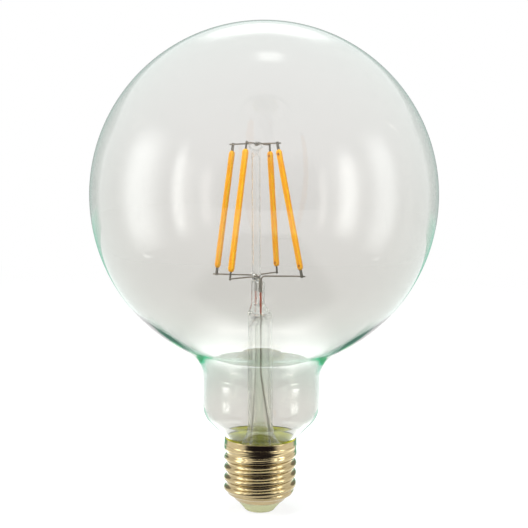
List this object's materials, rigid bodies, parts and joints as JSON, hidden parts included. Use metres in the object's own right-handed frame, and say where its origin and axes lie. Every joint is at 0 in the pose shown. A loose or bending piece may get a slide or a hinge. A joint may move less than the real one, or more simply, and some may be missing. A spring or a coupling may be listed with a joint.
{
  "type": "globe bulb",
  "caption": "Large clear globe lamp with straight LED filaments on a glass stem, a short neck and an Edison screw cap.",
  "frame": {"origin": "lowest point of the solder on the centre contact, on the lamp's axis", "axes": "+Z along the axis from the cap to the top of the globe; the lamp is seen from -Y"},
  "size_m": [0.125, 0.125, 0.1766],
  "materials": {
    "glass": "clear, fire-polished blown soda-lime glass",
    "stem_glass": "clear drawn and pressed soda-lime glass",
    "mount_wire": "drawn nickel-plated iron wire, dull",
    "lead_wire": "drawn nickel wire with a copper-clad seal length",
    "cap_metal": "rolled brass sheet, nickel-plated, bright",
    "insulator": "moulded glass compound, matt",
    "contact_metal": "stamped brass, satin",
    "solder": "tin solder, dull bright",
    "cement": "baked resin and marble flour cement, matt",
    "board": "glass-fibre laminate with solder mask",
    "capacitor_sleeve": "shrunk sleeve",
    "chip_resin": "moulded epoxy",
    "resistor_coat": "dipped lacquer",
    "hookup_wire": "tinned copper wire",
    "strip_ceramic": "sintered alumina, matt",
    "tab_metal": "stamped nickel-plated iron, dull",
    "phosphor": "silicone filled with yellow phosphor, satin"
  },
  "bodies": {
    "root": {"glass_envelope": "glass", "stem_flare": "stem_glass", "exhaust_tube": "stem_glass", "support_rod": "stem_glass", "anchor_wire_upper": "mount_wire", "anchor_wire_lower": "mount_wire", "branch_wire_back_left": "mount_wire", "branch_wire_front_left": "mount_wire", "branch_wire_back_right": "mount_wire", "branch_wire_front_right": "mount_wire", "lead_back": "lead_wire", "lead_front": "lead_wire", "cap_shell": "cap_metal", "cap_insulator": "insulator", "centre_contact": "contact_metal", "contact_solder": "solder", "shell_solder": "solder", "basing_cement": "cement", "driver_board": "board", "smoothing_capacitor": "capacitor_sleeve", "driver_chip": "chip_resin", "bridge_rectifier": "chip_resin", "fusible_resistor": "resistor_coat", "contact_wire": "hookup_wire", "resistor_wire": "hookup_wire", "shell_wire": "hookup_wire", "filament_strip_back_left": "strip_ceramic", "filament_strip_front_left": "strip_ceramic", "filament_strip_back_right": "strip_ceramic", "filament_strip_front_right": "strip_ceramic", "top_tab_back_left": "tab_metal", "bottom_tab_back_left": "tab_metal", "top_tab_front_left": "tab_metal", "bottom_tab_front_left": "tab_metal", "top_tab_back_right": "tab_metal", "bottom_tab_back_right": "tab_metal", "top_tab_front_right": "tab_metal", "bottom_tab_front_right": "tab_metal", "phosphor_coat_back_left": "phosphor", "phosphor_coat_front_left": "phosphor", "phosphor_coat_back_right": "phosphor", "phosphor_coat_front_right": "phosphor"}
  },
  "joints": []
}
